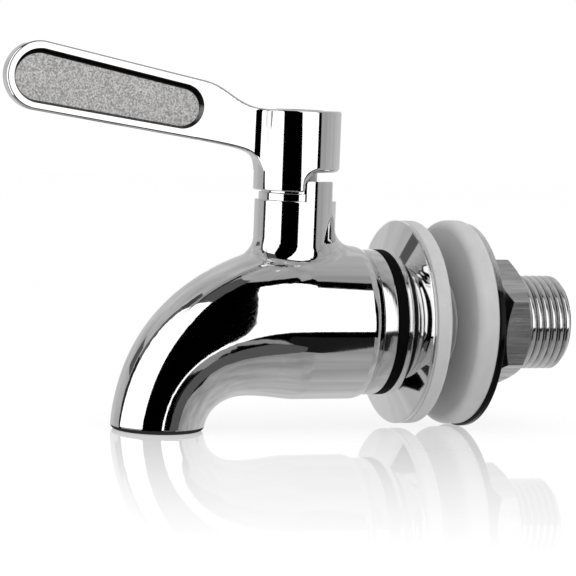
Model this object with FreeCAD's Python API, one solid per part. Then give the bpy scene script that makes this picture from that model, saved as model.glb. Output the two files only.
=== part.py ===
import FreeCAD, Part
import math
import os

# Bottle tap: a quarter-turn ball tap for a drinks container, fastened through a hole in the wall.
# Frame: the origin is on the shank's axis, on the container wall's outer face.
# +X runs along the shank into the container, +Z is up, and the spout and lever point to -X.
# All sizes are millimetres.

Vector = FreeCAD.Vector
ALONG = Vector(1, 0, 0)
SIDEWAYS = Vector(0, 1, 0)
UP = Vector(0, 0, 1)
ORIGIN = Vector(0, 0, 0)

# Shank thread, G 3/8
thread_r = 8.331
shank_bore_r = 5.0

# Lengths along the shank, from the container wall outwards
front_washer_thick = 2.9
flange_rim_thick = 0.5
flange_cone_depth = 1.7
flange_seat_depth = 0.7
gasket_thick = 1.9
collar_length = 2.8
seam_to_neck = 12.3

# Lengths along the shank, from the container wall's outer face inwards
wall_gap = 5.1
rear_washer_thick = 3.7
backing_thick = 1.0
nut_gap = 4.0
nut_height = 5.0
thread_past_nut = 8.8

# Rings and nut on the shank
rear_washer_r = 18.0
washer_edge_round = 0.6
rear_washer_crown = 1.5
backing_edge_round = 0.2
flange_r = 17.8
front_washer_inset = 0.0
flange_seat_r = 12.5
gasket_r = 12.7
gasket_edge_round = 0.4
collar_r = 12.7
collar_edge_round = 0.35
nut_across_flats = 19.6
nut_turn_deg = 23.8
nut_chamfer_deg = 30.0
nut_chamfer_flat = 0.96
shank_end_chamfer = 0.8

# Cast body
chamber_r = 13.4
seam_edge_r = 12.75
seam_round_length = 2.0
neck_r = 7.05
neck_top_z = 21.2
neck_fillet = 3.6
neck_edge_round = 0.25
boss_r = 6.4
boss_height = 1.25
boss_edge_round = 0.15
rim_r = 5.97
rim_height = 3.0
rim_edge_round = 0.4
lug_height = 3.4
lug_start_deg = -95.2
lug_sweep_deg = 47.2
lug_corner = 0.5

# Spout: a centre line from the chamber, round the bend to the outlet
bend_start = -0.3
bend_start_reach = 7.0
bend_end_reach = 16.1
outlet_reach = 23.7
outlet_drop = 18.4
outlet_r = 7.95
outlet_lean_deg = 4.7
taper_bias = 2.85
outlet_bore_r = 6.2
passage_end_r = 5.6
outlet_bore_depth = 4.0
outlet_edge_round = 0.9
outlet_inner_round = 0.4
outlet_run_out = 2.0
spout_sections = 9
first_section_bias = 0.4

# Ball and seats
ball_r = 8.0
port_r = 4.6
seat_outer_r = 8.85
seat_lip = 0.2
seat_near = 4.2
seat_far = 8.2
ball_slot_width = 3.2
ball_slot_z = 5.6

# Spigot that screws into the body
spigot_r = 10.5
spigot_tip = 5.6
spigot_seal_back = 1.6

# Stem, gland and seals
stem_shaft_r = 3.6
stem_barrel_r = 4.65
stem_flats = 6.0
tang_half_length = 3.6
shoulder_z = 15.4
gland_r = 5.0
gland_slot_width = 1.4
gland_slot_depth = 1.2
thrust_thick = 0.7
seal_section_r = 0.7
seal_groove_extra = 0.2
lower_seal_z = 10.7
upper_seal_z = 13.3

# Lever
hub_r = 7.4
hub_gap = 0.3
hub_top_z = 36.6
hub_edge_round = 0.35
hub_under_round = 0.9
hub_low_round = 0.25
skirt_inner_r = 6.3
notch_height = 3.35
notch_corner = 2.4
quarter_turn_deg = 90.0
socket_floor_drop = 3.6
stem_top_drop = 0.4
blade_length = 52.7
blade_rise_deg = 9.7
blade_axis_z = 32.9
blade_thick = 3.1
blade_edge_round = 0.45
blade_tip_r = 5.8
blade_root_r = 5.05
blade_root_reach = 18.3
blade_foot_z = 25.75
blade_foot_inset = 0.45
blade_flare_r = 2.5
blade_flare_bite = 0.01
crown_reach = 6.66
crown_inside = 3.0
shoulder_start = 4.2
shoulder_end = 5.0
shoulder_end_deg = 4.0
throat_start = 11.4
throat_end = 3.35
throat_bulge = 0.85
recess_border = 1.25
recess_near = 18.0
recess_depth = 1.05
recess_slope = 0.45

# Handle screw, M4, and its spring washer
screw_r = 2.0
screw_head_r = 3.5
screw_head_height = 2.3
screw_head_round = 0.3
screw_length = 8.0
screw_key_flats = 2.5
screw_key_depth = 1.3
screw_pit_r = 4.2
lock_washer_r = 3.5
lock_washer_thick = 0.8
lock_washer_split = 0.8

# Clearances
thread_clear = 0.05
slip_clear = 0.05
seal_clear = 0.05
ring_clear = 0.12
flange_clear = 0.25
backing_clear = 0.42
hang_clear = 0.02
socket_clear = 0.04
stop_clear_deg = 1.0

# How far a cutting tool runs past the surface it cuts, and how close two equal sizes are
past = 1.0
near = 0.01

# Places along the shank
front_washer_r = flange_r - front_washer_inset
rim_front_x = -front_washer_thick - flange_rim_thick
flange_x = rim_front_x - flange_cone_depth - flange_seat_depth
gasket_x = flange_x - gasket_thick
seam_x = gasket_x - collar_length
neck_x = seam_x - seam_to_neck
rear_washer_x = wall_gap
backing_x = rear_washer_x + rear_washer_thick
nut_x = backing_x + backing_thick + nut_gap
shank_end_x = nut_x + nut_height + thread_past_nut

# Places up the stem
boss_top_z = neck_top_z + boss_height
rim_top_z = neck_top_z + rim_height
hub_bottom_z = boss_top_z + hub_gap
lug_top_z = neck_top_z + lug_height
skirt_top_z = hub_bottom_z + notch_height
pit_floor_z = hub_top_z - socket_floor_drop
stem_top_z = pit_floor_z - stem_top_drop
pocket_r = seat_outer_r + slip_clear
stem_bore_r = stem_barrel_r + slip_clear
barrel_bottom_z = pocket_r + 2 * slip_clear
gland_bore_r = gland_r + thread_clear
gland_bottom_z = shoulder_z + thrust_thick


def at_neck(x, y, z):
    """A point given from the neck's axis."""
    return Vector(neck_x + x, y, z)


def rod(radius, start_x, end_x, z=0.0):
    """A cylinder along the shank."""
    return Part.makeCylinder(radius, end_x - start_x, Vector(start_x, 0, z), ALONG)


def post(radius, bottom_z, top_z):
    """A cylinder up the neck's axis."""
    return Part.makeCylinder(radius, top_z - bottom_z, at_neck(0, 0, bottom_z), UP)


def rounded_post(radius, bottom_z, top_z, top_round):
    """A cylinder up the neck's axis, with its top edge rounded."""
    shape = post(radius, bottom_z, top_z)
    return shape.makeFillet(top_round, edges_that(shape, lambda box: box.ZMin > top_z - near))


def face_of(points):
    """A flat face inside straight lines."""
    return Part.Face(Part.makePolygon(points + points[:1]))


def edges_that(shape, test):
    return [edge for edge in shape.Edges if test(edge.BoundBox)]


def ring_edges(shape, x, radius):
    """The circles of one radius round the shank at one place."""
    return edges_that(shape, lambda box: abs(box.XMin - x) < near and abs(box.XMax - x) < near
                      and abs(box.YLength / 2 - radius) < near)


def rounded_ring(start_x, end_x, outer_r, inner_r, start_round, end_round, z=0.0):
    """A washer with its two outer edges rounded."""
    disc = rod(outer_r, start_x, end_x, z)
    disc = disc.makeFillet(start_round, ring_edges(disc, start_x, outer_r))
    disc = disc.makeFillet(end_round, ring_edges(disc, end_x, outer_r))
    return disc.cut(rod(inner_r, start_x, end_x, z))


def sector(inner_r, outer_r, bottom_z, top_z, start_deg, sweep_deg):
    """A part of a ring round the neck's axis, from one angle through another."""
    profile = face_of([at_neck(inner_r, 0, bottom_z), at_neck(outer_r, 0, bottom_z),
                       at_neck(outer_r, 0, top_z), at_neck(inner_r, 0, top_z)])
    piece = profile.revolve(at_neck(0, 0, 0), UP, sweep_deg)
    piece.rotate(at_neck(0, 0, 0), UP, start_deg)
    return piece


def bend_frame(t):
    """Centre and turn, in degrees, of the spout's section a share t of the way to the outlet."""
    lean = math.radians(outlet_lean_deg)
    start = Vector(-bend_start, 0, 0)
    end = Vector(-outlet_reach, 0, -outlet_drop)
    ahead = start + Vector(-bend_start_reach, 0, 0)
    behind = end + Vector(math.sin(lean), 0, math.cos(lean)) * bend_end_reach
    s = 1 - t
    centre = start * s ** 3 + ahead * (3 * s * s * t) + behind * (3 * s * t * t) + end * t ** 3
    way = (ahead - start) * (s * s) + (behind - ahead) * (2 * s * t) + (end - behind) * (t * t)
    return centre, math.degrees(math.atan2(-way.z, -way.x))


def round_section(radius, centre, turn_deg):
    """A circle that faces along the spout's centre line."""
    circle = Part.makeCircle(radius, ORIGIN, ALONG * -1)
    circle.rotate(ORIGIN, SIDEWAYS, -turn_deg)
    circle.translate(at_neck(centre.x, centre.y, centre.z))
    return Part.Wire([circle])


def swept_spout(radius_at):
    """A solid along the spout's centre line, with a plain run past the outlet."""
    sections = []
    for step in range(spout_sections):
        share = step / (spout_sections - 1)
        t = share * (first_section_bias + (1 - first_section_bias) * share)
        centre, turn = bend_frame(t)
        sections.append(round_section(radius_at(t), centre, turn))
    centre, turn = bend_frame(1.0)
    run_out = Vector(-math.cos(math.radians(turn)), 0, -math.sin(math.radians(turn)))
    sections.append(round_section(radius_at(1.0), centre + run_out * outlet_run_out, turn))
    return Part.makeLoft(sections, True, False)


def valve_chamber():
    """The level barrel, eased in towards the seam by an arc that leaves it smoothly."""
    drop = chamber_r - seam_edge_r
    arc_r = (seam_round_length ** 2 + drop ** 2) / (2 * drop)
    half_turn = math.asin(seam_round_length / arc_r) / 2
    arc_x = seam_x - seam_round_length
    start = Vector(arc_x, 0, chamber_r)
    middle = Vector(arc_x + arc_r * math.sin(half_turn), 0, chamber_r - arc_r * (1 - math.cos(half_turn)))
    end = Vector(seam_x, 0, seam_edge_r)
    start_x = neck_x - bend_start
    edges = [Part.LineSegment(Vector(start_x, 0, 0), Vector(start_x, 0, chamber_r)).toShape(),
             Part.LineSegment(Vector(start_x, 0, chamber_r), start).toShape(),
             Part.Arc(start, middle, end).toShape(),
             Part.LineSegment(end, Vector(seam_x, 0, 0)).toShape(),
             Part.LineSegment(Vector(seam_x, 0, 0), Vector(start_x, 0, 0)).toShape()]
    return Part.Face(Part.Wire(edges)).revolve(ORIGIN, ALONG, 360)


def spout_body():
    def outer_radius(t):
        eased = taper_bias * t ** 2 + (1 - taper_bias) * t ** 3
        return chamber_r + (outlet_r - chamber_r) * eased

    def passage_radius(t):
        return port_r + (passage_end_r - port_r) * t

    body = swept_spout(outer_radius)
    below = Part.makeCylinder(4 * outlet_r, outlet_run_out + past,
                              at_neck(-outlet_reach, 0, -outlet_drop), UP * -1)
    body = body.cut(below)
    on_outlet = edges_that(body, lambda box: box.ZMax < -outlet_drop + near)
    body = body.makeFillet(outlet_edge_round, on_outlet)
    body = body.fuse(valve_chamber()).fuse(rounded_post(neck_r, 0, neck_top_z, neck_edge_round))
    root = edges_that(body, lambda box: box.ZMin > 0.5 * chamber_r and box.ZMax < neck_top_z - past
                      and box.XMax < neck_x + neck_r + 10 * near)
    body = body.makeFillet(neck_fillet, root)

    boss = rounded_post(boss_r, neck_top_z - past, boss_top_z, boss_edge_round)
    rim = rounded_post(rim_r, neck_top_z - past, rim_top_z, rim_edge_round)
    lug = sector(gland_bore_r, neck_r, neck_top_z - past, lug_top_z, lug_start_deg, lug_sweep_deg)
    corners = edges_that(lug, lambda box: box.ZMin > lug_top_z - near
                         and box.DiagonalLength < neck_r - gland_bore_r + near)
    lug = lug.makeFillet(lug_corner, corners)
    body = body.fuse(boss).fuse(rim).fuse(lug).removeSplitter()

    seat_shoulder = neck_x - seat_far
    body = body.cut(rod(pocket_r, seat_shoulder, seam_x + past))
    body = body.cut(rod(spigot_r + thread_clear, neck_x + spigot_tip - slip_clear, seam_x + past))
    body = body.cut(post(stem_bore_r, 0, shoulder_z + past))
    body = body.cut(post(gland_bore_r, shoulder_z, lug_top_z + past))
    body = body.cut(swept_spout(passage_radius))
    mouth = at_neck(-outlet_reach, 0, -outlet_drop)
    outlet = Part.makeCylinder(outlet_bore_r, outlet_bore_depth, mouth, UP)
    flare = Part.makeCone(outlet_bore_r + outlet_inner_round, outlet_bore_r, outlet_inner_round, mouth, UP)
    return body.cut(outlet).cut(flare)


def seal_ring(bore_r, centre, axis):
    """An O-ring that lies just inside a bore."""
    return Part.makeTorus(bore_r - seal_clear - seal_section_r, seal_section_r, centre, axis)


def groove_floor(bore_r):
    return bore_r - 2 * seal_clear - 2 * seal_section_r


groove_half = seal_section_r + seal_groove_extra


def inlet_shank():
    """Collar, threaded tube and the spigot that holds the rear seat, turned as one piece."""
    collar = rod(collar_r, seam_x, gasket_x)
    collar = collar.makeFillet(collar_edge_round, ring_edges(collar, seam_x, collar_r)
                               + ring_edges(collar, gasket_x, collar_r))
    tube = rod(thread_r, seam_x, shank_end_x)
    tube = tube.makeChamfer(shank_end_chamfer, ring_edges(tube, shank_end_x, thread_r))
    tip_x = neck_x + spigot_tip
    spigot = rod(spigot_r, tip_x, seam_x)
    shank = collar.fuse(tube).fuse(spigot)
    shank = shank.cut(rod(pocket_r, tip_x, neck_x + seat_far))
    shank = shank.cut(rod(shank_bore_r, tip_x, shank_end_x + past))
    groove_x = seam_x - spigot_seal_back
    groove = rod(spigot_r + past, groove_x - groove_half, groove_x + groove_half)
    groove = groove.cut(rod(groove_floor(spigot_r + thread_clear), groove_x - groove_half, groove_x + groove_half))
    return shank.cut(groove).removeSplitter()


def shank_seal():
    return seal_ring(spigot_r + thread_clear, Vector(seam_x - spigot_seal_back, 0, 0), ALONG)


def valve_ball():
    ball = Part.makeSphere(ball_r, at_neck(0, 0, 0))
    ball = ball.cut(rod(port_r, neck_x - ball_r - past, neck_x + ball_r + past))
    slot = Part.makeBox(ball_slot_width, 2 * ball_r, ball_r,
                        at_neck(-ball_slot_width / 2, -ball_r, ball_slot_z))
    return ball.cut(slot)


def ball_seat(side):
    """A plastic ring with a hollow that fits the ball; side is 1 for the rear, -1 for the front."""
    ends = sorted([neck_x + side * seat_near, neck_x + side * seat_far])
    ring = rod(seat_outer_r, ends[0], ends[1])
    ring = ring.cut(rod(port_r + seat_lip, ends[0], ends[1]))
    return ring.cut(Part.makeSphere(ball_r + slip_clear, at_neck(0, 0, 0)))


def valve_stem():
    barrel = post(stem_barrel_r, barrel_bottom_z, shoulder_z - slip_clear)
    for seal_z in (lower_seal_z, upper_seal_z):
        band = post(stem_barrel_r + past, seal_z - groove_half, seal_z + groove_half)
        core = post(groove_floor(stem_bore_r), seal_z - groove_half, seal_z + groove_half)
        barrel = barrel.cut(band.cut(core))
    shaft = post(stem_shaft_r, shoulder_z - past, stem_top_z)
    tang_thick = ball_slot_width - 2 * slip_clear
    tang_bottom = ball_slot_z + 2 * slip_clear
    tang = Part.makeBox(tang_thick, 2 * tang_half_length, barrel_bottom_z - tang_bottom + past / 2,
                        at_neck(-tang_thick / 2, -tang_half_length, tang_bottom))
    stem = barrel.fuse(shaft).fuse(tang)
    for side in (-1, 1):
        flat = Part.makeBox(4 * stem_shaft_r, stem_shaft_r, stem_top_z - skirt_top_z + past,
                            at_neck(-2 * stem_shaft_r, side * stem_flats / 2, skirt_top_z))
        if side < 0:
            flat.translate(SIDEWAYS * -stem_shaft_r)
        stem = stem.cut(flat)
    screw_tip_z = pit_floor_z + lock_washer_thick - screw_length
    stem = stem.cut(post(screw_r + thread_clear, screw_tip_z - past, stem_top_z + past))
    return stem.removeSplitter()


def stem_gland():
    """The slotted bush that is screwed into the neck and keeps the stem in."""
    gland = post(gland_r, gland_bottom_z, rim_top_z)
    gland = gland.cut(post(stem_shaft_r + slip_clear, gland_bottom_z, rim_top_z))
    slot = Part.makeBox(4 * gland_r, gland_slot_width, 2 * gland_slot_depth,
                        at_neck(-2 * gland_r, -gland_slot_width / 2, rim_top_z - gland_slot_depth))
    return gland.cut(slot)


def stem_thrust_washer():
    washer = post(gland_r, shoulder_z, gland_bottom_z)
    return washer.cut(post(stem_shaft_r + slip_clear, shoulder_z, gland_bottom_z))


def on_blade(reach, across, side=0.0):
    """A point of the blade: out from the stem's axis, across the blade, and to its side."""
    rise = math.radians(blade_rise_deg)
    return at_neck(-reach * math.cos(rise) + across * math.sin(rise), side,
                   blade_axis_z + reach * math.sin(rise) + across * math.cos(rise))


def taper_tangent(far_reach, far_r, near_reach, near_r):
    """Where the straight edge leaves each end circle of a tapered stadium."""
    lean = (far_r - near_r) / (far_reach - near_reach)
    rise = math.sqrt(1 - lean * lean)
    return (far_reach + far_r * lean, far_r * rise), (near_reach + near_r * lean, near_r * rise)


def blade_outline():
    """The lever's blade from the side: straight tapered edges, a round tip, and curves into the hub."""
    tip_reach = blade_length - blade_tip_r
    far, near_end = taper_tangent(tip_reach, blade_tip_r, blade_root_reach, blade_root_r)
    top_far = on_blade(far[0], far[1])
    top_near = on_blade(near_end[0], near_end[1])
    low_far = on_blade(far[0], -far[1])
    low_near = on_blade(near_end[0], -near_end[1])
    tip = on_blade(blade_length, 0)
    crown = at_neck(-crown_reach, 0, hub_top_z)
    foot = at_neck(-hub_r + blade_foot_inset, 0, blade_foot_z)
    top_way = (top_near - top_far).normalize()
    low_way = (low_near - low_far).normalize()
    crown_way = Vector(math.cos(math.radians(shoulder_end_deg)), 0, -math.sin(math.radians(shoulder_end_deg)))
    shoulder = Part.BezierCurve()
    shoulder.setPoles([top_near, top_near + top_way * shoulder_start, crown - crown_way * shoulder_end, crown])
    throat = Part.BezierCurve()
    throat.setPoles([low_near, low_near + low_way * throat_start,
                     foot + Vector(-throat_bulge, 0, throat_end), foot])
    inside_top = crown + crown_way * crown_inside
    inside_foot = Vector(inside_top.x, 0, foot.z)
    edges = [Part.LineSegment(top_far, top_near).toShape(),
             shoulder.toShape(),
             Part.LineSegment(crown, inside_top).toShape(),
             Part.LineSegment(inside_top, inside_foot).toShape(),
             Part.LineSegment(inside_foot, foot).toShape(),
             throat.toShape(),
             Part.LineSegment(low_near, low_far).toShape(),
             Part.Arc(low_far, tip, top_far).toShape()]
    return Part.Face(Part.Wire(Part.__sortEdges__(edges)))


def blade_plan():
    """The blade from above: a level strip whose sides flare out to meet the hub's round."""
    half = blade_thick / 2
    from_axis = hub_r + blade_flare_r - blade_flare_bite
    centre = at_neck(-math.sqrt(from_axis ** 2 - (half + blade_flare_r) ** 2), half + blade_flare_r, 0)
    inward = (at_neck(0, 0, 0) - centre).normalize()
    start = centre - SIDEWAYS * blade_flare_r
    end = centre + inward * blade_flare_r
    middle = centre + (inward - SIDEWAYS).normalize() * blade_flare_r
    points = [at_neck(-blade_length - past, half, 0), start, middle, end, at_neck(0, end.y, 0)]
    mirrored = [Vector(p.x, -p.y, 0) for p in points]
    edges = []
    for p in (points, mirrored):
        edges += [Part.LineSegment(p[0], p[1]).toShape(),
                  Part.Arc(p[1], p[2], p[3]).toShape(),
                  Part.LineSegment(p[3], p[4]).toShape()]
    edges += [Part.LineSegment(points[k], mirrored[k]).toShape() for k in (0, 4)]
    return Part.Face(Part.Wire(Part.__sortEdges__(edges))), end.x


def blade_solid():
    outline = blade_outline()
    outline.translate(SIDEWAYS * -hub_r)
    plan, flare_end_x = blade_plan()
    blade = outline.extrude(SIDEWAYS * 2 * hub_r).common(plan.extrude(UP * 2 * hub_top_z))
    half = blade_thick / 2
    rim = edges_that(blade, lambda box: box.XLength > 2 * near and box.XMax < flare_end_x + near
                     and (box.YMin > half - near or box.YMax < near - half))
    return blade.makeFillet(blade_edge_round, rim)


def recess_ring(side, border, y):
    """The recess's oval, a border inside the blade's edge."""
    far_r = blade_tip_r - border
    near_r = blade_root_r - border
    tip_reach = blade_length - blade_tip_r
    near_reach = recess_near + border - recess_border + near_r
    far, near_end = taper_tangent(tip_reach, far_r, near_reach, near_r)
    y = side * y
    corners = [on_blade(far[0], far[1], y), on_blade(near_end[0], near_end[1], y),
               on_blade(near_end[0], -near_end[1], y), on_blade(far[0], -far[1], y)]
    edges = [Part.LineSegment(corners[0], corners[1]).toShape(),
             Part.Arc(corners[1], on_blade(near_reach - near_r, 0, y), corners[2]).toShape(),
             Part.LineSegment(corners[2], corners[3]).toShape(),
             Part.Arc(corners[3], on_blade(tip_reach + far_r, 0, y), corners[0]).toShape()]
    return Part.Wire(edges)


def recess_cutter(side):
    """The oval pocket in one face of the blade, with a wall that slopes in to the floor."""
    face_y = blade_thick / 2
    floor = recess_ring(side, recess_border + recess_slope, face_y - recess_depth)
    outwards = recess_slope * past / recess_depth
    mouth = recess_ring(side, recess_border - outwards, face_y + past)
    return Part.makeLoft([floor, mouth], True, True)


def is_notch_edge(edge):
    """The outer edge of the notch's ceiling, on the hub's round side."""
    box = edge.BoundBox
    middle = edge.valueAt((edge.FirstParameter + edge.LastParameter) / 2) - at_neck(0, 0, 0)
    return (abs(box.ZMin - skirt_top_z) < near and abs(box.ZMax - skirt_top_z) < near
            and abs(math.hypot(middle.x, middle.y) - hub_r) < near and edge.Length > hub_r)


def lever():
    hub = rounded_post(hub_r, hub_bottom_z, hub_top_z, hub_edge_round)
    hub = hub.makeFillet(hub_low_round, edges_that(hub, lambda box: box.ZMax < hub_bottom_z + near))
    handle = hub.fuse(blade_solid())
    for side in (-1, 1):
        handle = handle.cut(recess_cutter(side))
    handle = handle.cut(post(skirt_inner_r, hub_bottom_z - past, skirt_top_z))
    handle = handle.cut(post(screw_pit_r, pit_floor_z, hub_top_z + past))
    socket = post(stem_shaft_r + socket_clear, skirt_top_z - past, pit_floor_z + past)
    half_flats = stem_flats / 2 + socket_clear
    keep = Part.makeBox(4 * stem_shaft_r, 2 * half_flats, hub_top_z,
                        at_neck(-2 * stem_shaft_r, -half_flats, 0))
    handle = handle.cut(socket.common(keep))
    notch_sweep = lug_sweep_deg + quarter_turn_deg + 2 * stop_clear_deg
    notch = sector(skirt_inner_r - past, hub_r + past, hub_bottom_z - 2 * past, skirt_top_z,
                   lug_start_deg - stop_clear_deg, notch_sweep)
    top_ends = edges_that(notch, lambda box: box.ZMin > skirt_top_z - near
                          and box.DiagonalLength < hub_r - skirt_inner_r + 2 * past + near)
    notch = notch.makeFillet(notch_corner, top_ends)
    handle = handle.cut(notch).removeSplitter()
    under = [edge for edge in handle.Edges if is_notch_edge(edge)]
    return handle.makeFillet(hub_under_round, under)


def handle_screw():
    head_bottom_z = pit_floor_z + lock_washer_thick
    head = rounded_post(screw_head_r, head_bottom_z, head_bottom_z + screw_head_height, screw_head_round)
    corner_r = screw_key_flats / math.sqrt(3)
    corners = [at_neck(corner_r * math.cos(math.radians(60 * k)), corner_r * math.sin(math.radians(60 * k)),
                       head_bottom_z + screw_head_height - screw_key_depth) for k in range(6)]
    key = face_of(corners).extrude(UP * (screw_key_depth + past))
    shank = post(screw_r, head_bottom_z - screw_length, head_bottom_z + past)
    return head.fuse(shank).cut(key).removeSplitter()


def screw_washer():
    """A split spring washer, drawn flat as when tightened."""
    ring = post(lock_washer_r, pit_floor_z, pit_floor_z + lock_washer_thick)
    ring = ring.cut(post(screw_r + thread_clear, pit_floor_z, pit_floor_z + lock_washer_thick))
    split = Part.makeBox(2 * lock_washer_r, lock_washer_split, 2 * lock_washer_thick,
                         at_neck(0, -lock_washer_split / 2, pit_floor_z - lock_washer_thick / 2))
    return ring.cut(split)


def collar_gasket():
    return rounded_ring(gasket_x, flange_x, gasket_r, thread_r + ring_clear,
                        gasket_edge_round, gasket_edge_round)


def wall_flange():
    """A turned escutcheon: a short seat for the gasket and a shallow cone out to a thin rim."""
    bore_r = thread_r + flange_clear
    seat_x = flange_x + flange_seat_depth
    profile = face_of([Vector(flange_x, 0, bore_r), Vector(flange_x, 0, flange_seat_r),
                       Vector(seat_x, 0, flange_seat_r), Vector(rim_front_x, 0, flange_r),
                       Vector(-front_washer_thick, 0, flange_r), Vector(-front_washer_thick, 0, bore_r)])
    return profile.revolve(ORIGIN, ALONG, 360)


def front_wall_washer():
    return rounded_ring(-front_washer_thick, 0, front_washer_r, thread_r + ring_clear,
                        washer_edge_round, washer_edge_round)


def rear_wall_washer():
    return rounded_ring(rear_washer_x, backing_x, rear_washer_r, thread_r + ring_clear,
                        rear_washer_crown, washer_edge_round)


def backing_washer():
    """Hangs on the shank by the slack of its hole."""
    hang = backing_clear - hang_clear
    return rounded_ring(backing_x, backing_x + backing_thick, rear_washer_r, thread_r + backing_clear,
                        backing_edge_round, backing_edge_round, -hang)


def lock_nut():
    end_x = nut_x + nut_height
    corner_r = nut_across_flats / math.sqrt(3)
    corners = []
    for k in range(6):
        angle = math.radians(nut_turn_deg + 60 * k)
        corners.append(Vector(nut_x, -corner_r * math.cos(angle), corner_r * math.sin(angle)))
    nut = face_of(corners).extrude(ALONG * nut_height)
    flat_r = nut_chamfer_flat * nut_across_flats / 2
    outer_r = corner_r + past
    run = (outer_r - flat_r) * math.tan(math.radians(nut_chamfer_deg))
    profile = face_of([Vector(nut_x, 0, 0), Vector(nut_x, 0, flat_r), Vector(nut_x + run, 0, outer_r),
                       Vector(end_x - run, 0, outer_r), Vector(end_x, 0, flat_r), Vector(end_x, 0, 0)])
    nut = nut.common(profile.revolve(ORIGIN, ALONG, 360))
    return nut.cut(rod(thread_r + thread_clear, nut_x, end_x))


def lower_stem_seal():
    return seal_ring(stem_bore_r, at_neck(0, 0, lower_seal_z), UP)


def upper_stem_seal():
    return seal_ring(stem_bore_r, at_neck(0, 0, upper_seal_z), UP)


def front_ball_seat():
    return ball_seat(-1)


def rear_ball_seat():
    return ball_seat(1)


pieces = [spout_body, inlet_shank, shank_seal, valve_ball, front_ball_seat, rear_ball_seat, valve_stem,
          lower_stem_seal, upper_stem_seal, stem_thrust_washer, stem_gland, lever, handle_screw,
          screw_washer, collar_gasket, wall_flange, front_wall_washer, rear_wall_washer,
          backing_washer, lock_nut]

os.makedirs("parts", exist_ok=True)
for piece in pieces:
    shape = piece()
    shape.exportStep("parts/" + piece.__name__ + ".step")
    box = shape.BoundBox
    print(piece.__name__, "valid", shape.isValid(), "solids", len(shape.Solids),
          "volume", round(shape.Volume, 1), "X", round(box.XMin, 2), round(box.XMax, 2),
          "Z", round(box.ZMin, 2), round(box.ZMax, 2))
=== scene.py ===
"""Looks for the bottle tap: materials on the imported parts, a threaded shank, and a plain white stage."""

import math
from functools import cached_property

import bpy
import numpy as np
from mathutils import Matrix, Vector


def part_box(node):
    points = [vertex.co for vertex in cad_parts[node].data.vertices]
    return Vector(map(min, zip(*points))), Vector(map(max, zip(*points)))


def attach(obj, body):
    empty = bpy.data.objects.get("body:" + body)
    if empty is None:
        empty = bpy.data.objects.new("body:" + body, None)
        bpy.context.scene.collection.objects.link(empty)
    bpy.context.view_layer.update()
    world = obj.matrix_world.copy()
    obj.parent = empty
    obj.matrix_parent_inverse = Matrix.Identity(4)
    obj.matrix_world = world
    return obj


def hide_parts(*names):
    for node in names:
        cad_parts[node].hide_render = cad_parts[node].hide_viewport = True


bl_info = {
    "name": "Bottle tap looks",
    "version": (1, 0, 0),
    "blender": (4, 5, 0),
    "location": "3D View > Sidebar > Bottle tap",
    "description": "Dresses the packed bottle tap with steel, rubber and silicone on a white stage",
    "category": "Object",
}

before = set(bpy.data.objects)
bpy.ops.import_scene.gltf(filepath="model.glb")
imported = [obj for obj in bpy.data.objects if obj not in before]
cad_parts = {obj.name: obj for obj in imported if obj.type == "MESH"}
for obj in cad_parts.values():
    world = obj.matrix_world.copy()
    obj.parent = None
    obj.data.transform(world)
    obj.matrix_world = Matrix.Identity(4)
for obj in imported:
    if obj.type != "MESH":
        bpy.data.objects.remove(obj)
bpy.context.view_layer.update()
MM = 0.001

# The lever, in mm: the stem's axis, the blade's middle line, and the recess in each face of the blade.
NECK_X = -22.8
BLADE_RISE_DEG = 9.7
BLADE_AXIS_Z = 32.9
RECESS_NEAR = 21.8
RECESS_FAR = 46.9
RECESS_NEAR_R = 3.29
RECESS_WIDENS = 0.0299


class Wire:
    """A socket's value in a material. Sums and products of it add Math nodes."""

    def __init__(self, look, socket):
        self.look = look
        self.socket = socket

    def __add__(self, other):
        return self.look.math("ADD", self, other)

    def __radd__(self, other):
        return self.look.math("ADD", other, self)

    def __sub__(self, other):
        return self.look.math("SUBTRACT", self, other)

    def __rsub__(self, other):
        return self.look.math("SUBTRACT", other, self)

    def __mul__(self, other):
        return self.look.math("MULTIPLY", self, other)

    def __rmul__(self, other):
        return self.look.math("MULTIPLY", other, self)

    def __abs__(self):
        return self.look.math("ABSOLUTE", self)

    def root(self):
        return self.look.math("SQRT", self)


def socket_name(word):
    """The Principled shader's name of a socket, from a keyword."""
    return word.replace("_", " ").title().replace("Ior", "IOR")


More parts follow.
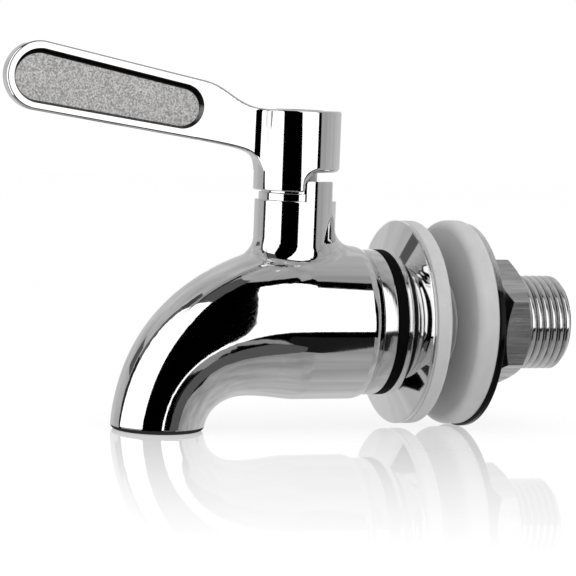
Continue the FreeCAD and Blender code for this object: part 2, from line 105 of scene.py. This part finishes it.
class Nodes:
    """The nodes of a material or of the world, and the ways to add to them."""

    def __init__(self, tree):
        self.tree = tree

    @cached_property
    def place(self):
        """The surface point in the piece's own coordinates, in metres."""
        return self.node("ShaderNodeTexCoord").outputs["Object"]

    def node(self, kind, settings=None, inputs=None):
        """A new node. Its settings are set first, then its sockets get their values or links."""
        made = self.tree.nodes.new(kind)
        for name, value in (settings or {}).items():
            setattr(made, name, value)
        for name, value in (inputs or {}).items():
            self.put(value, made.inputs[name])
        return made

    def put(self, value, socket):
        if isinstance(value, Wire):
            self.tree.links.new(value.socket, socket)
        elif isinstance(value, bpy.types.NodeSocket):
            self.tree.links.new(value, socket)
        else:
            socket.default_value = value

    def math(self, operation, *values):
        made = self.node("ShaderNodeMath", {"operation": operation}, dict(enumerate(values)))
        return Wire(self, made.outputs[0])

    def axis(self, name):
        """One coordinate of the surface point, in millimetres."""
        parts = self.node("ShaderNodeSeparateXYZ", inputs={0: self.place})
        return Wire(self, parts.outputs[name]) * 1000.0

    def along(self, way):
        """How far the surface point lies in a level direction, in millimetres."""
        inputs = {0: self.place, 1: way * 1000.0}
        made = self.node("ShaderNodeVectorMath", {"operation": "DOT_PRODUCT"}, inputs)
        return Wire(self, made.outputs["Value"])

    def stretched(self, factors):
        """The surface point in millimetres, with each axis scaled."""
        settings = {"operation": "MULTIPLY"}
        scaled = [1000.0 * f for f in factors]
        return self.node("ShaderNodeVectorMath", settings, {0: self.place, 1: scaled}).outputs[0]

    def noise(self, scale, detail=2.0, roughness=0.5, stretch=(1, 1, 1)):
        """Noise from about 0.2 to 0.8, with features of 1/scale millimetres."""
        inputs = {"Vector": self.stretched(stretch), "Scale": scale, "Detail": detail, "Roughness": roughness}
        return Wire(self, self.node("ShaderNodeTexNoise", {}, inputs).outputs[0])

    def ramp(self, value, low, high, start=0.0, end=1.0):
        """A straight line from start, at low, to end, at high."""
        inputs = {"Value": value, "From Min": low, "From Max": high, "To Min": start, "To Max": end}
        return Wire(self, self.node("ShaderNodeMapRange", {"clamp": True}, inputs).outputs[0])

    def blend(self, factor, first, second):
        """A colour between two."""
        made = self.node("ShaderNodeMix", {"data_type": "RGBA"})
        self.put(factor, made.inputs[0])
        self.put(first, made.inputs[6])
        self.put(second, made.inputs[7])
        return made.outputs[2]

    def bump(self, height, depth_mm, under=None):
        """A normal bent by a height. Under is the normal that it starts from."""
        inputs = {"Height": height, "Distance": depth_mm * MM, "Strength": 1.0}
        if under is not None:
            inputs["Normal"] = under
        return self.node("ShaderNodeBump", {}, inputs).outputs[0]


class Look(Nodes):
    """One material: a Principled shader and the nodes that feed it."""

    def __init__(self, name, **constants):
        self.material = bpy.data.materials.new(name)
        self.material.use_nodes = True
        super().__init__(self.material.node_tree)
        self.shader = next(n for n in self.tree.nodes if n.type == "BSDF_PRINCIPLED")
        self.feed(**constants)

    def feed(self, **inputs):
        """Gives the shader's sockets their values or links."""
        for socket, value in inputs.items():
            self.put(value, self.shader.inputs[socket_name(socket)])
        return self.material


class Glow(Nodes):
    """A material that only shines."""

    def __init__(self, name, strength):
        self.material = bpy.data.materials.new(name)
        self.material.use_nodes = True
        super().__init__(self.material.node_tree)
        self.tree.nodes.clear()
        self.shader = self.node("ShaderNodeEmission", {}, {"Color": grey(1.0), "Strength": strength})
        self.node("ShaderNodeOutputMaterial", {}, {"Surface": self.shader.outputs[0]})


def grey(level, warm=0.0):
    """A grey, or one that leans a little to red."""
    return (level * (1 + warm), level, level * (1 - warm), 1.0)


def dress(node, material):
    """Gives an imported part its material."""
    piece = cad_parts[node]
    piece.data.materials.clear()
    piece.data.materials.append(material)
    return piece


def mesh_object(name, points, faces, material, sharp_deg=None):
    """A new mesh object; the points are in millimetres."""
    mesh = bpy.data.meshes.new(name)
    mesh.from_pydata((np.asarray(points) * MM).tolist(), [], np.asarray(faces).tolist())
    mesh.validate()
    mesh.materials.append(material)
    if sharp_deg is not None:
        mesh.polygons.foreach_set("use_smooth", np.ones(len(mesh.polygons), bool))
        mesh.set_sharp_from_angle(angle=math.radians(sharp_deg))
    made = bpy.data.objects.new(name, mesh)
    bpy.context.scene.collection.objects.link(made)
    return made


class TapFinish(bpy.types.PropertyGroup):
    """Colours and polish."""

    steel: bpy.props.FloatProperty(name="Steel", description="How light the polished steel is", default=0.80)
    steel_rough: bpy.props.FloatProperty(
        name="Polish roughness", description="Roughness of the mirror-polished steel", default=0.045)
    plain_steel: bpy.props.FloatProperty(
        name="Machined steel", description="How light the machined steel is", default=0.55)
    brushed_rough: bpy.props.FloatProperty(
        name="Brushed roughness", description="Roughness of the nut and washers", default=0.23)
    shank_rough: bpy.props.FloatProperty(
        name="Thread roughness", description="Roughness of the turned thread", default=0.11)
    blasted: bpy.props.FloatProperty(
        name="Blasted steel", description="How light the blasted recess is", default=0.55)
    silicone: bpy.props.FloatProperty(
        name="Silicone", description="How light the silicone is", default=0.44)
    rubber: bpy.props.FloatProperty(
        name="Rubber", description="How light the black rubber is", default=0.0015)


class TapSizes(bpy.types.PropertyGroup):
    """Sizes of what only the looks have."""

    thread_pitch: bpy.props.FloatProperty(
        name="Thread pitch", description="Pitch of the shank's thread, in mm", default=1.337)
    thread_depth: bpy.props.FloatProperty(
        name="Thread depth", description="Depth of the thread, in mm", default=1.0)
    around: bpy.props.IntProperty(
        name="Steps round", description="Steps round the shank's circle", default=128)
    rows_per_turn: bpy.props.IntProperty(
        name="Rows per turn", description="Rows of faces along one pitch", default=14)


class TapStage(bpy.types.PropertyGroup):
    """Lights, cards and camera."""

    floor_z: bpy.props.FloatProperty(name="Floor", description="Height of the floor, in mm", default=-18.42)
    floor_glow: bpy.props.FloatProperty(
        name="Floor glow", description="Strength of the light that comes through the floor", default=0.78)
    floor_gloss: bpy.props.FloatProperty(
        name="Floor gloss", description="Weight of the floor's coat where the tap stands", default=0.85)
    world_fill: bpy.props.FloatProperty(
        name="Fill", description="Strength of the even light on matt surfaces", default=1.0)
    key_watts: bpy.props.FloatProperty(name="Key", description="Power of the key lamp, in watts", default=2.0)
    panel: bpy.props.FloatProperty(name="Panels", description="Strength of the white panels", default=1.5)
    room: bpy.props.FloatProperty(name="Room", description="Strength of the grey room", default=0.40)
    lens: bpy.props.FloatProperty(name="Lens", description="Focal length, in mm", default=156.25)


def polished(name, finish, corner_mm=0.0, lean=0.0):
    """Mirror-polished stainless steel with faint polishing lines and smears.

    corner_mm rounds the corners as polishing does. lean is a slope along the tap's radius: below zero, a
    cone is shaded as if it were steeper."""
    look = Look(name, metallic=1.0)
    smear = look.noise(0.16, 3.0, 0.55)
    lines = look.noise(2.2, 3.0, 0.6, stretch=(0.25, 2.0, 2.0))
    rough = finish.steel_rough * (0.55 + 0.9 * smear) + 0.03 * look.ramp(lines, 0.55, 0.8)
    colour = look.blend(look.ramp(smear, 0.3, 0.7), grey(finish.steel * 0.97), grey(finish.steel))
    corners = None
    if corner_mm:
        corners = look.node("ShaderNodeBevel", {"samples": 8}, {"Radius": corner_mm * MM}).outputs[0]
    bump = look.bump(look.noise(0.5, 2.0), 0.002, corners)
    if lean:
        bump = look.bump(radius_of(look), lean, bump)
    return look.feed(base_color=colour, roughness=rough, normal=bump)


def radius_of(look):
    """How far a point lies from the tap's axis, in mm."""
    y, z = look.axis("Y"), look.axis("Z")
    return (y * y + z * z).root()


def blade_axes(look):
    """Where a point of the lever lies: along the blade from the stem's axis, and across it, in mm."""
    rise = math.radians(BLADE_RISE_DEG)
    out, high = NECK_X - look.axis("X"), look.axis("Z") - BLADE_AXIS_Z
    return out * math.cos(rise) + high * math.sin(rise), high * math.cos(rise) - out * math.sin(rise)


def blasted(name, finish):
    """The sandblasted floor of the lever's recess, with a painted shadow: a dark strip at the top."""
    # Painted shadow: a strip this many mm wide along the top of the floor is coloured near black.
    shadow_band, soft = 0.36, 0.06
    look = Look(name, metallic=1.0)
    grain = look.noise(3.3, 4.0, 0.62)
    along, across = blade_axes(look)
    middle = look.math("MINIMUM", look.math("MAXIMUM", along, RECESS_NEAR), RECESS_FAR)
    reach_r = RECESS_NEAR_R + (middle - RECESS_NEAR) * RECESS_WIDENS
    from_unshaded_middle = ((along - middle) * (along - middle) + (across + shadow_band) * (across + shadow_band)).root()
    blast = look.ramp(grain, 0.38, 0.62, finish.blasted * 0.55, finish.blasted * 1.35)
    light = look.blend(blast, grey(0.0), (1.0, 0.985, 0.98, 1.0))
    # Painted shadow: near black where the floor lies outside its unshaded middle part.
    colour = look.blend(look.ramp(from_unshaded_middle - reach_r, -soft, soft), light, grey(0.006))
    return look.feed(base_color=colour, roughness=0.34 + 0.2 * grain, normal=look.bump(grain, 0.07))


def shaded_wall(name):
    """The recess's wall: painted shade, dark, with a painted reflection that lightens it near the blade's
    middle line.
    """
    middle, reflection_half, shade_half = -0.7, 0.9, 1.7
    look = Look(name, metallic=1.0)
    grain = look.noise(2.0, 3.0, 0.6)
    across = blade_axes(look)[1]
    # Painted reflection: lighter at the recess's ends, where the wall crosses the blade's middle line.
    # Painted shade elsewhere.
    painted_reflection = look.ramp(abs(across - middle), reflection_half, shade_half, 1.0, 0.0) * (0.6 + 0.8 * grain)
    colour = look.blend(painted_reflection, grey(0.02), grey(0.42))
    return look.feed(base_color=colour, roughness=0.18 + 0.15 * grain, normal=look.bump(grain, 0.02))


def turned(name, finish):
    """The shank's turned steel: painted shade dark in the thread's grooves, and a pale matt grey between the
    wall washers as painted light that lifts their shade.
    """
    groove_r, crest_r = 7.5, 8.0
    wall_from, wall_to, soft = -3.0, 5.0, 0.2
    look = Look(name)
    rings = look.noise(6.0, 2.0, 0.5, stretch=(1.0, 0.05, 0.05))
    cloud = look.noise(0.5, 3.0)
    # Painted shade: darker towards the bottom of the thread's grooves.
    groove_shading = look.ramp(radius_of(look) + 0.2 * (cloud - 0.5), groove_r, crest_r, 0.42, 1.0)
    along = look.axis("X")
    # Painted light: pale matt grey instead of steel between the wall washers, to lift the shade there.
    in_wall = look.ramp(along, wall_from - soft, wall_from)
    in_wall = in_wall * look.ramp(along, wall_to, wall_to + soft, 1.0, 0.0)
    bright = look.blend(look.ramp(cloud, 0.3, 0.7), grey(finish.steel * 0.82), grey(finish.steel * 0.95))
    steel = look.blend(look.math("MAXIMUM", groove_shading, in_wall), grey(0.0), bright)
    colour = look.blend(in_wall, steel, grey(0.5))
    rough = finish.shank_rough * (0.5 + 0.6 * cloud + 0.4 * rings) + 0.5 * in_wall
    bump = look.bump(rings, 0.008)
    return look.feed(base_color=colour, roughness=rough, metallic=1.0 - in_wall, normal=bump)


def brushed(name, finish, light):
    """Drawn and machined steel, streaked along the tap's axis."""
    look = Look(name, metallic=1.0)
    streaks = look.noise(0.6, 2.0, 0.5, stretch=(0.12, 1.0, 1.0))
    lines = look.noise(3.0, 2.0, 0.5, stretch=(0.03, 1.6, 1.6))
    cloud = look.noise(0.5, 3.0)
    colour = look.blend(look.ramp(streaks + 0.5 * lines, 0.6, 0.9), grey(light * 0.75), grey(light * 1.15))
    rough = finish.brushed_rough * (0.5 + 0.5 * lines + 0.5 * cloud)
    coarse = look.bump(streaks, 0.10)
    return look.feed(base_color=colour, roughness=rough, normal=look.bump(lines, 0.003, coarse))


def washer_steel(name, finish):
    """The backing washer: painted shade, bright at the top and dark lower down."""
    look = Look(name, metallic=1.0)
    cloud = look.noise(0.4, 3.0, 0.6)
    # Painted shade: near black below a height of about 7 to 10.5 mm, blurred by noise.
    bright = look.ramp(look.axis("Z") + 4.0 * (cloud - 0.5), 7.0, 10.5)
    colour = look.blend(bright, grey(0.012), grey(finish.steel))
    return look.feed(base_color=colour, roughness=0.12 + 0.1 * cloud, normal=look.bump(cloud, 0.01))


class TAP_OT_polished(bpy.types.Operator):
    """Polish the body and the wall flange, and polish and blast the lever"""

    bl_idname = "tap.polished"
    bl_label = "Polished parts"

    def execute(self, context):
        finish = context.scene.tap_finish
        steel = polished("polished_steel_look", finish)
        dress("spout_body", steel)
        flange_steel = polished("flange_steel_look", finish, corner_mm=0.7, lean=-0.07)
        dress("wall_flange", flange_steel)
        lever = dress("lever", steel)
        lever.data.materials.append(blasted("blasted_steel_and_shadow_look", finish))
        lever.data.materials.append(shaded_wall("wall_shade_look"))
        hub_end, recess_bottom_z, blade_half = 17.0, 30.0, 1.5
        for face in lever.data.polygons:
            x, y, z = face.center / MM
            flat = abs(face.normal.y)
            in_recess = x < NECK_X - hub_end and z > recess_bottom_z and abs(y) < blade_half
            if in_recess and flat > 0.99:
                face.material_index = 1
            elif in_recess and 0.3 < flat < 0.5:
                face.material_index = 2
        return {"FINISHED"}


class TAP_OT_shank(bpy.types.Operator):
    """Turn the shank: collar, spigot, and a tube with a real right-hand thread"""

    bl_idname = "tap.shank"
    bl_label = "Threaded shank"

    def execute(self, context):
        sizes = context.scene.tap_sizes
        lowest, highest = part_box("inlet_shank")
        start_x, end_x = lowest.x / MM, highest.x / MM
        crest_r, crest_width = 8.331, 5
        thread_start, run_in = -3.0, 1.5
        end_chamfer, bore_edge, bore_rows = 0.8, 0.4, 8
        bore_r, pocket_r, pocket_end = 5.0, 8.9, -14.6
        spigot_r, groove_r, groove = 10.5, 9.05, (-13.0, -11.2)
        collar_r, collar_front, collar_rear, round_r = 12.7, -10.5, -7.7, 0.35

        def corner(x, way):
            """A rounded outer corner of the collar; way is -1 for the front one and 1 for the rear one."""
            angles = np.radians(np.linspace(0, 90, 6)[::-way])
            return [(x + way * round_r * (math.cos(a) - 1), collar_r + round_r * (math.sin(a) - 1))
                    for a in angles]

        front = [(start_x, pocket_r), (start_x, spigot_r), (groove[0], spigot_r), (groove[0], groove_r),
                 (groove[1], groove_r), (groove[1], spigot_r), (collar_front, spigot_r)]
        front += corner(collar_front, -1) + corner(collar_rear, 1)
        front += [(collar_rear, crest_r), (thread_start, crest_r)]
        step = sizes.thread_pitch / sizes.rows_per_turn
        thread_x = np.arange(thread_start + step, end_x - step / 2, step)
        rear = [(end_x, crest_r - end_chamfer), (end_x, bore_r + bore_edge), (end_x - bore_edge, bore_r)]
        rear += [(x, bore_r) for x in np.linspace(end_x - 4, pocket_end, bore_rows)]
        rear += [(pocket_end, pocket_r)]

        around = sizes.around
        angles = np.linspace(0, 2 * np.pi, around, endpoint=False)
        rows = [(x, np.full(around, r)) for x, r in front]
        for x in thread_x:
            phase = (x / sizes.thread_pitch - angles / (2 * np.pi)) % 1.0
            tooth = 1 - np.abs(2 * (phase - 0.5)) ** crest_width
            depth = sizes.thread_depth * np.clip((x - thread_start) / run_in, 0, 1)
            radius = crest_r - depth * (1 - tooth)
            rows.append((x, np.minimum(radius, crest_r - (x - end_x + end_chamfer))))
        rows += [(x, np.full(around, r)) for x, r in rear]

        rings = [np.stack([np.full(around, x), r * np.cos(angles), r * np.sin(angles)], 1) for x, r in rows]
        here = np.arange(around)
        beside = (here + 1) % around
        faces = []
        for row in range(len(rows)):
            this, after = row * around, (row + 1) % len(rows) * around
            faces.append(np.stack([this + here, after + here, after + beside, this + beside], 1))
        steel = turned("shank_steel_look", context.scene.tap_finish)
        shank = mesh_object("threaded_shank", np.concatenate(rings), np.concatenate(faces), steel, 40)
        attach(shank, "tap_body")
        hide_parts("inlet_shank")
        return {"FINISHED"}


class TAP_OT_fittings(bpy.types.Operator):
    """Give the nut, the backing washer, the stem, the gland and the screw their machined steel"""

    bl_idname = "tap.fittings"
    bl_label = "Machined fittings"

    def execute(self, context):
        finish = context.scene.tap_finish
        steel = brushed("machined_steel_look", finish, finish.plain_steel)
        for node in ("lock_nut", "valve_stem", "stem_gland", "handle_screw", "screw_washer"):
            dress(node, steel)
        dress("backing_washer", washer_steel("washer_steel_look", finish))
        return {"FINISHED"}


class TAP_OT_silicone(bpy.types.Operator):
    """Give the two wall washers their translucent silicone"""

    bl_idname = "tap.silicone"
    bl_label = "Silicone washers"

    def execute(self, context):
        finish = context.scene.tap_finish
        look = Look("silicone_look", subsurface_weight=0.35, subsurface_scale=0.002, ior=1.41,
                    subsurface_radius=(1.0, 1.0, 1.0))
        cloud = look.noise(0.25, 3.0, 0.6)
        dust = look.noise(7.0, 2.0)
        level = finish.silicone
        colour = look.blend(look.ramp(cloud, 0.3, 0.7), grey(level * 0.95), grey(level * 1.04))
        look.feed(base_color=colour, roughness=0.34 + 0.2 * cloud, normal=look.bump(dust, 0.006))
        for node in ("front_wall_washer", "rear_wall_washer"):
            dress(node, look.material)
        return {"FINISHED"}


class TAP_OT_rubber(bpy.types.Operator):
    """Give the gasket and the O-rings their black rubber"""

    bl_idname = "tap.rubber"
    bl_label = "Rubber seals"

    def execute(self, context):
        finish = context.scene.tap_finish
        look = Look("black_rubber_look", ior=1.4, specular_ior_level=0.05)
        bloom = look.noise(0.6, 4.0, 0.6)
        colour = look.blend(look.ramp(bloom, 0.35, 0.75), grey(finish.rubber), grey(finish.rubber * 2.2))
        look.feed(base_color=colour, roughness=0.45 + 0.25 * bloom, normal=look.bump(look.noise(5.0), 0.01))
        for node in ("collar_gasket", "shank_seal", "lower_stem_seal", "upper_stem_seal"):
            dress(node, look.material)
        return {"FINISHED"}


class TAP_OT_valve(bpy.types.Operator):
    """Give the ball and its seats their materials"""

    bl_idname = "tap.valve"
    bl_label = "Ball and seats"

    def execute(self, context):
        finish = context.scene.tap_finish
        dress("valve_ball", polished("ball_steel_look", finish))
        look = Look("seat_plastic_look", ior=1.35)
        cloud = look.noise(0.5, 3.0)
        colour = look.blend(cloud, grey(0.78, 0.01), grey(0.86, 0.01))
        look.feed(base_color=colour, roughness=0.4 + 0.15 * cloud)
        for node in ("front_ball_seat", "rear_ball_seat", "stem_thrust_washer"):
            dress(node, look.material)
        return {"FINISHED"}


CAMERA_PLACE = Vector((-177.70, -401.64, 42.72))
CAMERA_RIGHT = (0.93407, -0.35498, 0.03895)
CAMERA_UP = (-0.00591, 0.09369, 0.99559)
CAMERA_BACK = (-0.35706, -0.93017, 0.08542)
TO_CAMERA = Vector((*CAMERA_BACK[:2], 0.0)).normalized()
TO_RIGHT = Vector((*CAMERA_RIGHT[:2], 0.0)).normalized()
GLOSS_ONLY = {"visible_camera": False, "visible_diffuse": False, "visible_transmission": False,
              "visible_shadow": False, "visible_volume_scatter": False}

# How far the cards stand from the point that they are seen from, in mm. A nearer card hides a farther one.
ROOM = 2000.0
FAR = 1400.0
DARK = 470.0
RIGHT = 440.0
LEFT = 150.0
CLOSE = 60.0
CARD_STEP_DEG = 4


def aimed(turn, rise, distance):
    """A point in mm, seen from the origin: degrees to the photo's right of the camera, and degrees up."""
    turn, rise = math.radians(turn), math.radians(rise)
    level = TO_CAMERA * math.cos(turn) + TO_RIGHT * math.sin(turn)
    return tuple(distance * (level * math.cos(rise) + Vector((0, 0, math.sin(rise)))))


def gloss_only(made):
    """A stage piece that only mirrors show."""
    for setting, value in GLOSS_ONLY.items():
        setattr(made, setting, value)
    return made


def shell(turn_from, turn_to, low, high, distance):
    """The points and faces of a curved card, from its angles as aimed takes them."""
    turns = np.linspace(turn_from, turn_to, max(2, int((turn_to - turn_from) / CARD_STEP_DEG) + 1))
    rises = np.linspace(low, high, max(2, int((high - low) / CARD_STEP_DEG) + 1))
    points = [aimed(turn, rise, distance) for rise in rises for turn in turns]
    wide = len(turns)
    faces = [(r * wide + c, r * wide + c + 1, (r + 1) * wide + c + 1, (r + 1) * wide + c)
             for r in range(len(rises) - 1) for c in range(wide - 1)]
    return points, faces


def card(name, turn_from, turn_to, low, high, strength, distance):
    """A curved card between two turns and two heights, in degrees."""
    points, faces = shell(turn_from, turn_to, low, high, distance)
    return gloss_only(mesh_object(name, points, faces, Glow(name + "_glow", strength).material))


def sheet(name, outline, strength, distance, seen_from=(0, 0, 0)):
    """A card with a free outline of (turn, height) corners, as seen from a point in mm."""
    points = [tuple(Vector(seen_from) + Vector(aimed(turn, rise, distance))) for turn, rise in outline]
    face = tuple(range(len(points)))
    return gloss_only(mesh_object(name, points, [face], Glow(name + "_glow", strength).material))


class TAP_OT_stage(bpy.types.Operator):
    """Set the white floor, the lamps, the cards that the steel mirrors, and the camera"""

    bl_idname = "tap.stage"
    bl_label = "Stage and camera"

    def execute(self, context):
        stage = context.scene.tap_stage
        self.world(context.scene, stage)
        self.floor(stage)
        self.lamps(stage)
        self.cards(stage)
        self.camera(context.scene, stage)
        return {"FINISHED"}

    def world(self, scene, stage):
        """White to the camera and in mirrors, and an even fill on matt surfaces."""
        world = bpy.data.worlds.new("white_world")
        world.use_nodes = True
        nodes = Nodes(world.node_tree)
        nodes.tree.nodes.clear()
        ray = nodes.node("ShaderNodeLightPath").outputs
        seen = nodes.math("MAXIMUM", ray["Is Camera Ray"], ray["Is Glossy Ray"])
        seen = nodes.math("MAXIMUM", seen, ray["Is Transmission Ray"])
        fill = nodes.node("ShaderNodeBackground", {}, {"Color": grey(1.0), "Strength": stage.world_fill})
        white = nodes.node("ShaderNodeBackground", {}, {"Color": grey(1.0), "Strength": 1.0})
        mix = nodes.node("ShaderNodeMixShader", {}, {0: seen, 1: fill.outputs[0], 2: white.outputs[0]})
        nodes.node("ShaderNodeOutputWorld", {}, {"Surface": mix.outputs[0]})
        scene.world = world

    def floor(self, stage):
        """A white floor, glossy under the tap and matt towards the camera."""
        fade_from, fade_to = 26.0, 128.0
        look = Look("floor_look", specular_ior_level=0.0, roughness=0.5, coat_roughness=0.03,
                    emission_strength=stage.floor_glow)
        cloud = look.noise(0.02, 2.0)
        near = look.along(TO_CAMERA) + 6.0 * (cloud - 0.5)
        coat = look.ramp(near, fade_from, fade_to, stage.floor_gloss, 0.0)
        pale = look.blend(cloud, grey(0.19), grey(0.21))
        look.feed(base_color=pale, coat_weight=coat, emission_color=look.blend(cloud, grey(0.985), grey(1.0)))
        half = 980.0
        z = stage.floor_z
        points = [(-half, -half, z), (half, -half, z), (half, half, z), (-half, half, z)]
        floor = mesh_object("floor", points, [(0, 1, 2, 3)], look.material)
        floor.visible_glossy = False

    def lamps(self, stage):
        aim = Vector((-20, 0, 0)) * MM
        for name, spot, watts in (("key_lamp", (350, -420, 620), stage.key_watts),
                                  ("side_lamp", (-500, -250, 450), stage.key_watts * 0.6)):
            data = bpy.data.lights.new(name, "AREA")
            data.size = 0.6
            data.energy = watts
            lamp = bpy.data.objects.new(name, data)
            lamp.location = Vector(spot) * MM
            lamp.rotation_mode = "QUATERNION"
            lamp.rotation_quaternion = (lamp.location - aim).to_track_quat("Z", "Y")
            lamp.visible_glossy = False
            bpy.context.scene.collection.objects.link(lamp)

    def cards(self, stage):
        """What the polished steel mirrors, as the bands in the photograph ask for it."""
        white, dark = stage.panel, 0.0
        self.room(stage)
        card("backdrop_card", 166, 194, -3, 14, 1.0, FAR)

        # The dark half of the room, behind the panels: black bands on the spout, the neck and the hub.
        card("dark_side", -52, 62, -15, 66, dark, DARK)
        card("dark_top", -50, 36, 66, 72, dark, DARK)
        card("dark_low", -40, 45, -38, -15, dark, DARK)
        card("low_sheen", 20, 45, -37, -16, 0.012, RIGHT)

        # The right panel, and the fading streaks below it.
        sheet("right_panel", [(8.8, -14.5), (10.8, -14.3), (13, -11.5), (20, -9.2), (32, -7.5), (53, -7),
                              (53, 6), (53, 20), (53, 34), (53, 46), (51, 56), (40, 59.5), (28, 62.5),
                              (14, 64), (0, 64), (-12, 63), (-7, 54), (-2, 45), (2, 33), (4.5, 20), (7, 10),
                              (8.5, -2)], white, RIGHT)
        sheet("panel_tail", [(9, -14.5), (11.5, -14), (16, -18.5), (19, -22.5), (22, -27), (19, -27),
                             (14, -21), (11, -17.5)], 0.3, RIGHT - 4)
        sheet("low_streak", [(13, -19), (20, -21), (30, -21), (38, -17), (54, -19), (55, -24), (48, -31),
                             (40, -38), (34, -43), (24, -39), (17, -30)], 0.1, CLOSE, (-46, -5, -8))

        # The left panel, close to the tap, with its dim frame.
        sheet("left_panel", [(-88, -12), (-74, -12), (-58, -12), (-43, -12), (-41, 0), (-42.5, 15),
                             (-46, 30), (-49, 40), (-52, 46.5), (-69, 45.5), (-82, 39), (-85, 30),
                             (-84.5, 15), (-86, 0)], white, LEFT)
        card("left_frame", -93, -86, -25, 14, 0.02, LEFT + 6)
        card("left_frame_high", -92, -83, 14, 40, 0.12, LEFT + 6)
        card("left_corner", -90, -69, 40, 49, 0.06, LEFT + 6)
        card("left_top", -78, -50, 46, 66, 0.09, LEFT + 8)
        sheet("left_low", [(-112, -36.5), (-104, -35.5), (-97, -35), (-92, -34.5), (-86, -31), (-86, -22),
                           (-112, -22)], dark, CLOSE)
        card("left_high", -122, -106, 12, 24, 0.1, FAR)
        self.outlet_shade(stage)

    def outlet_shade(self, stage):
        """A dim round patch just under the floor below the outlet, which only the steel mirrors: a painted
        shadow of the floor there.
        """
        outlet_x, patch_r, corners, below = NECK_X - 23.7, 9.3, 48, 0.1
        turns = np.linspace(0, 2 * np.pi, corners, endpoint=False)
        points = [(outlet_x + patch_r * math.cos(turn), patch_r * math.sin(turn), stage.floor_z - below)
                  for turn in turns]
        face = tuple(range(corners))
        gloss_only(mesh_object("outlet_shade", points, [face], Glow("outlet_shade_glow", 0.03).material))

    def room(self, stage):
        """The room: grey, lighter on the side behind the tap, and faintly uneven."""
        look = Glow("room_glow", stage.room)
        cloud = look.noise(0.0022)
        behind = look.along(-TO_CAMERA) * (0.5 / ROOM)
        look.put(look.ramp(cloud + behind, 0.1, 1.0, 0.72, 1.6), look.shader.inputs["Color"])
        points, faces = shell(-180, 180, -89, 89, ROOM)
        gloss_only(mesh_object("room", points, faces, look.material))

    def camera(self, scene, stage):
        """The camera that the photograph's round edges give."""
        data = bpy.data.cameras.new("photo_camera")
        data.lens = stage.lens
        data.sensor_width = 36.0
        data.clip_start = 0.01
        data.clip_end = 50.0
        camera = bpy.data.objects.new("photo_camera", data)
        turn = Matrix((CAMERA_RIGHT, CAMERA_UP, CAMERA_BACK)).transposed().to_4x4()
        camera.matrix_world = Matrix.Translation(CAMERA_PLACE * MM) @ turn
        scene.collection.objects.link(camera)
        scene.camera = camera
        scene.view_settings.view_transform = "Standard"


class TAP_PT_panel(bpy.types.Panel):
    """Buttons and settings of the bottle tap"""

    bl_idname = "TAP_PT_panel"
    bl_label = "Bottle tap"
    bl_space_type = "VIEW_3D"
    bl_region_type = "UI"
    bl_category = "Bottle tap"

    def draw(self, context):
        for group in (context.scene.tap_finish, context.scene.tap_sizes, context.scene.tap_stage):
            box = self.layout.box()
            for name in group.__annotations__:
                box.prop(group, name)
        for step in STEPS:
            self.layout.operator("tap." + step)


STEPS = ("polished", "shank", "fittings", "silicone", "rubber", "valve", "stage")
GROUPS = {"tap_finish": TapFinish, "tap_sizes": TapSizes, "tap_stage": TapStage}
CLASSES = (TapFinish, TapSizes, TapStage, TAP_OT_polished, TAP_OT_shank, TAP_OT_fittings, TAP_OT_silicone,
           TAP_OT_rubber, TAP_OT_valve, TAP_OT_stage, TAP_PT_panel)


def register():
    for cls in CLASSES:
        bpy.utils.register_class(cls)
    for name, group in GROUPS.items():
        setattr(bpy.types.Scene, name, bpy.props.PointerProperty(type=group))


def unregister():
    for name in GROUPS:
        delattr(bpy.types.Scene, name)
    for cls in reversed(CLASSES):
        bpy.utils.unregister_class(cls)


def main():
    register()
    for step in STEPS:
        getattr(bpy.ops.tap, step)()


if __name__ == "__main__":
    main()
